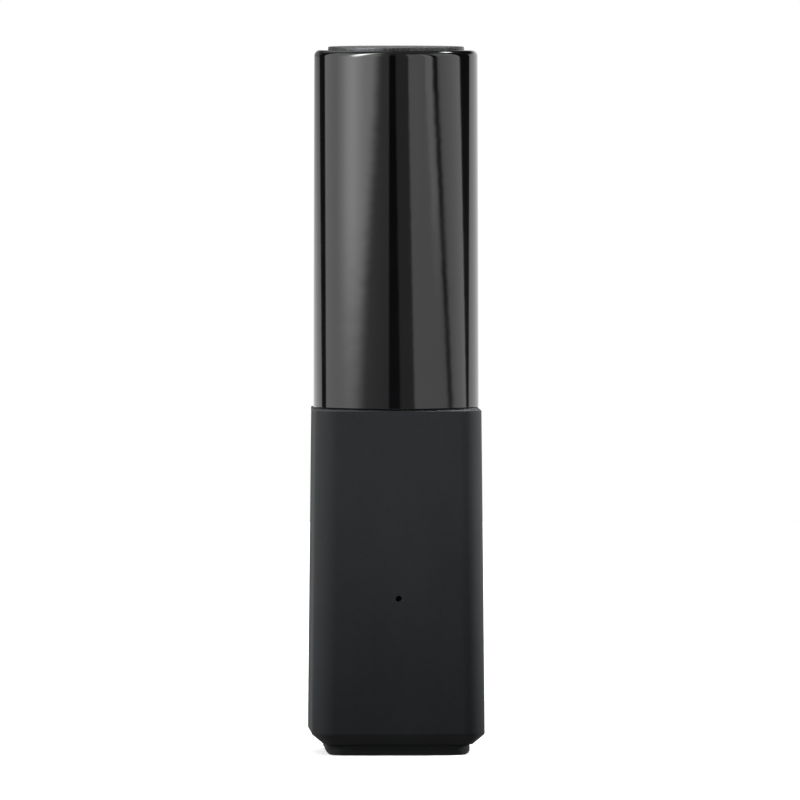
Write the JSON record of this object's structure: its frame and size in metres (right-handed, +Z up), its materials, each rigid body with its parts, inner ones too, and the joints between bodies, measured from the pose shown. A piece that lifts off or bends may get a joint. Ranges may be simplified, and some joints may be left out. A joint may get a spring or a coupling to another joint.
{
  "type": "lipstick case",
  "caption": "Twist-up lipstick case: a round gloss cap pulls off a silver neck, and turning the neck in the square matte base raises the lipstick.",
  "frame": {"origin": "middle of the underside of the foot, on the surface the case stands on", "axes": "+Z up along the case's axis, -Y the front with the small hole, +X to the right seen from the front"},
  "size_m": [0.0196, 0.0196, 0.08],
  "materials": {
    "soft_touch_black": "soft-touch matte black",
    "gloss_black": "piano black gloss",
    "dark_disc": "dark anodised, satin",
    "black_plastic": "moulded black",
    "natural_plastic": "moulded natural white",
    "polished_aluminium": "bright anodised",
    "bare_steel": "turned",
    "silicone": "translucent grey silicone",
    "paper": "coated paper",
    "wax": "smooth moulded lipstick wax"
  },
  "bodies": {
    "base": {"body_sleeve": "soft_touch_black", "base_liner": "black_plastic", "foot_plug": "soft_touch_black", "shade_label": "paper", "base_weight": "bare_steel", "fork_tube": "natural_plastic", "brake_ring": "silicone"},
    "neck": {"spiral_cam": "black_plastic", "neck_shell": "polished_aluminium"},
    "carrier": {"carrier_cup": "natural_plastic", "bullet": "wax"},
    "cap": {"cap_shell": "gloss_black", "cap_liner": "black_plastic", "cap_top_disc": "dark_disc"}
  },
  "joints": [
    {"name": "cap_pull", "type": "slide", "parent": "base", "child": "cap", "axis": [0, 0, 1], "range_m": [0, 0.045]},
    {"name": "neck_twist", "type": "hinge", "parent": "base", "child": "neck", "pos_m": [0, 0, 0.04], "axis": [0, 0, -1], "range_deg": [0, 450]},
    {"name": "carrier_rise", "type": "slide", "parent": "base", "child": "carrier", "axis": [0, 0, 1], "range_m": [0, 0.021]}
  ],
  "couplings": [
    {"joint": "neck_twist", "follows": "carrier_rise", "rad_per_m": 374}
  ]
}
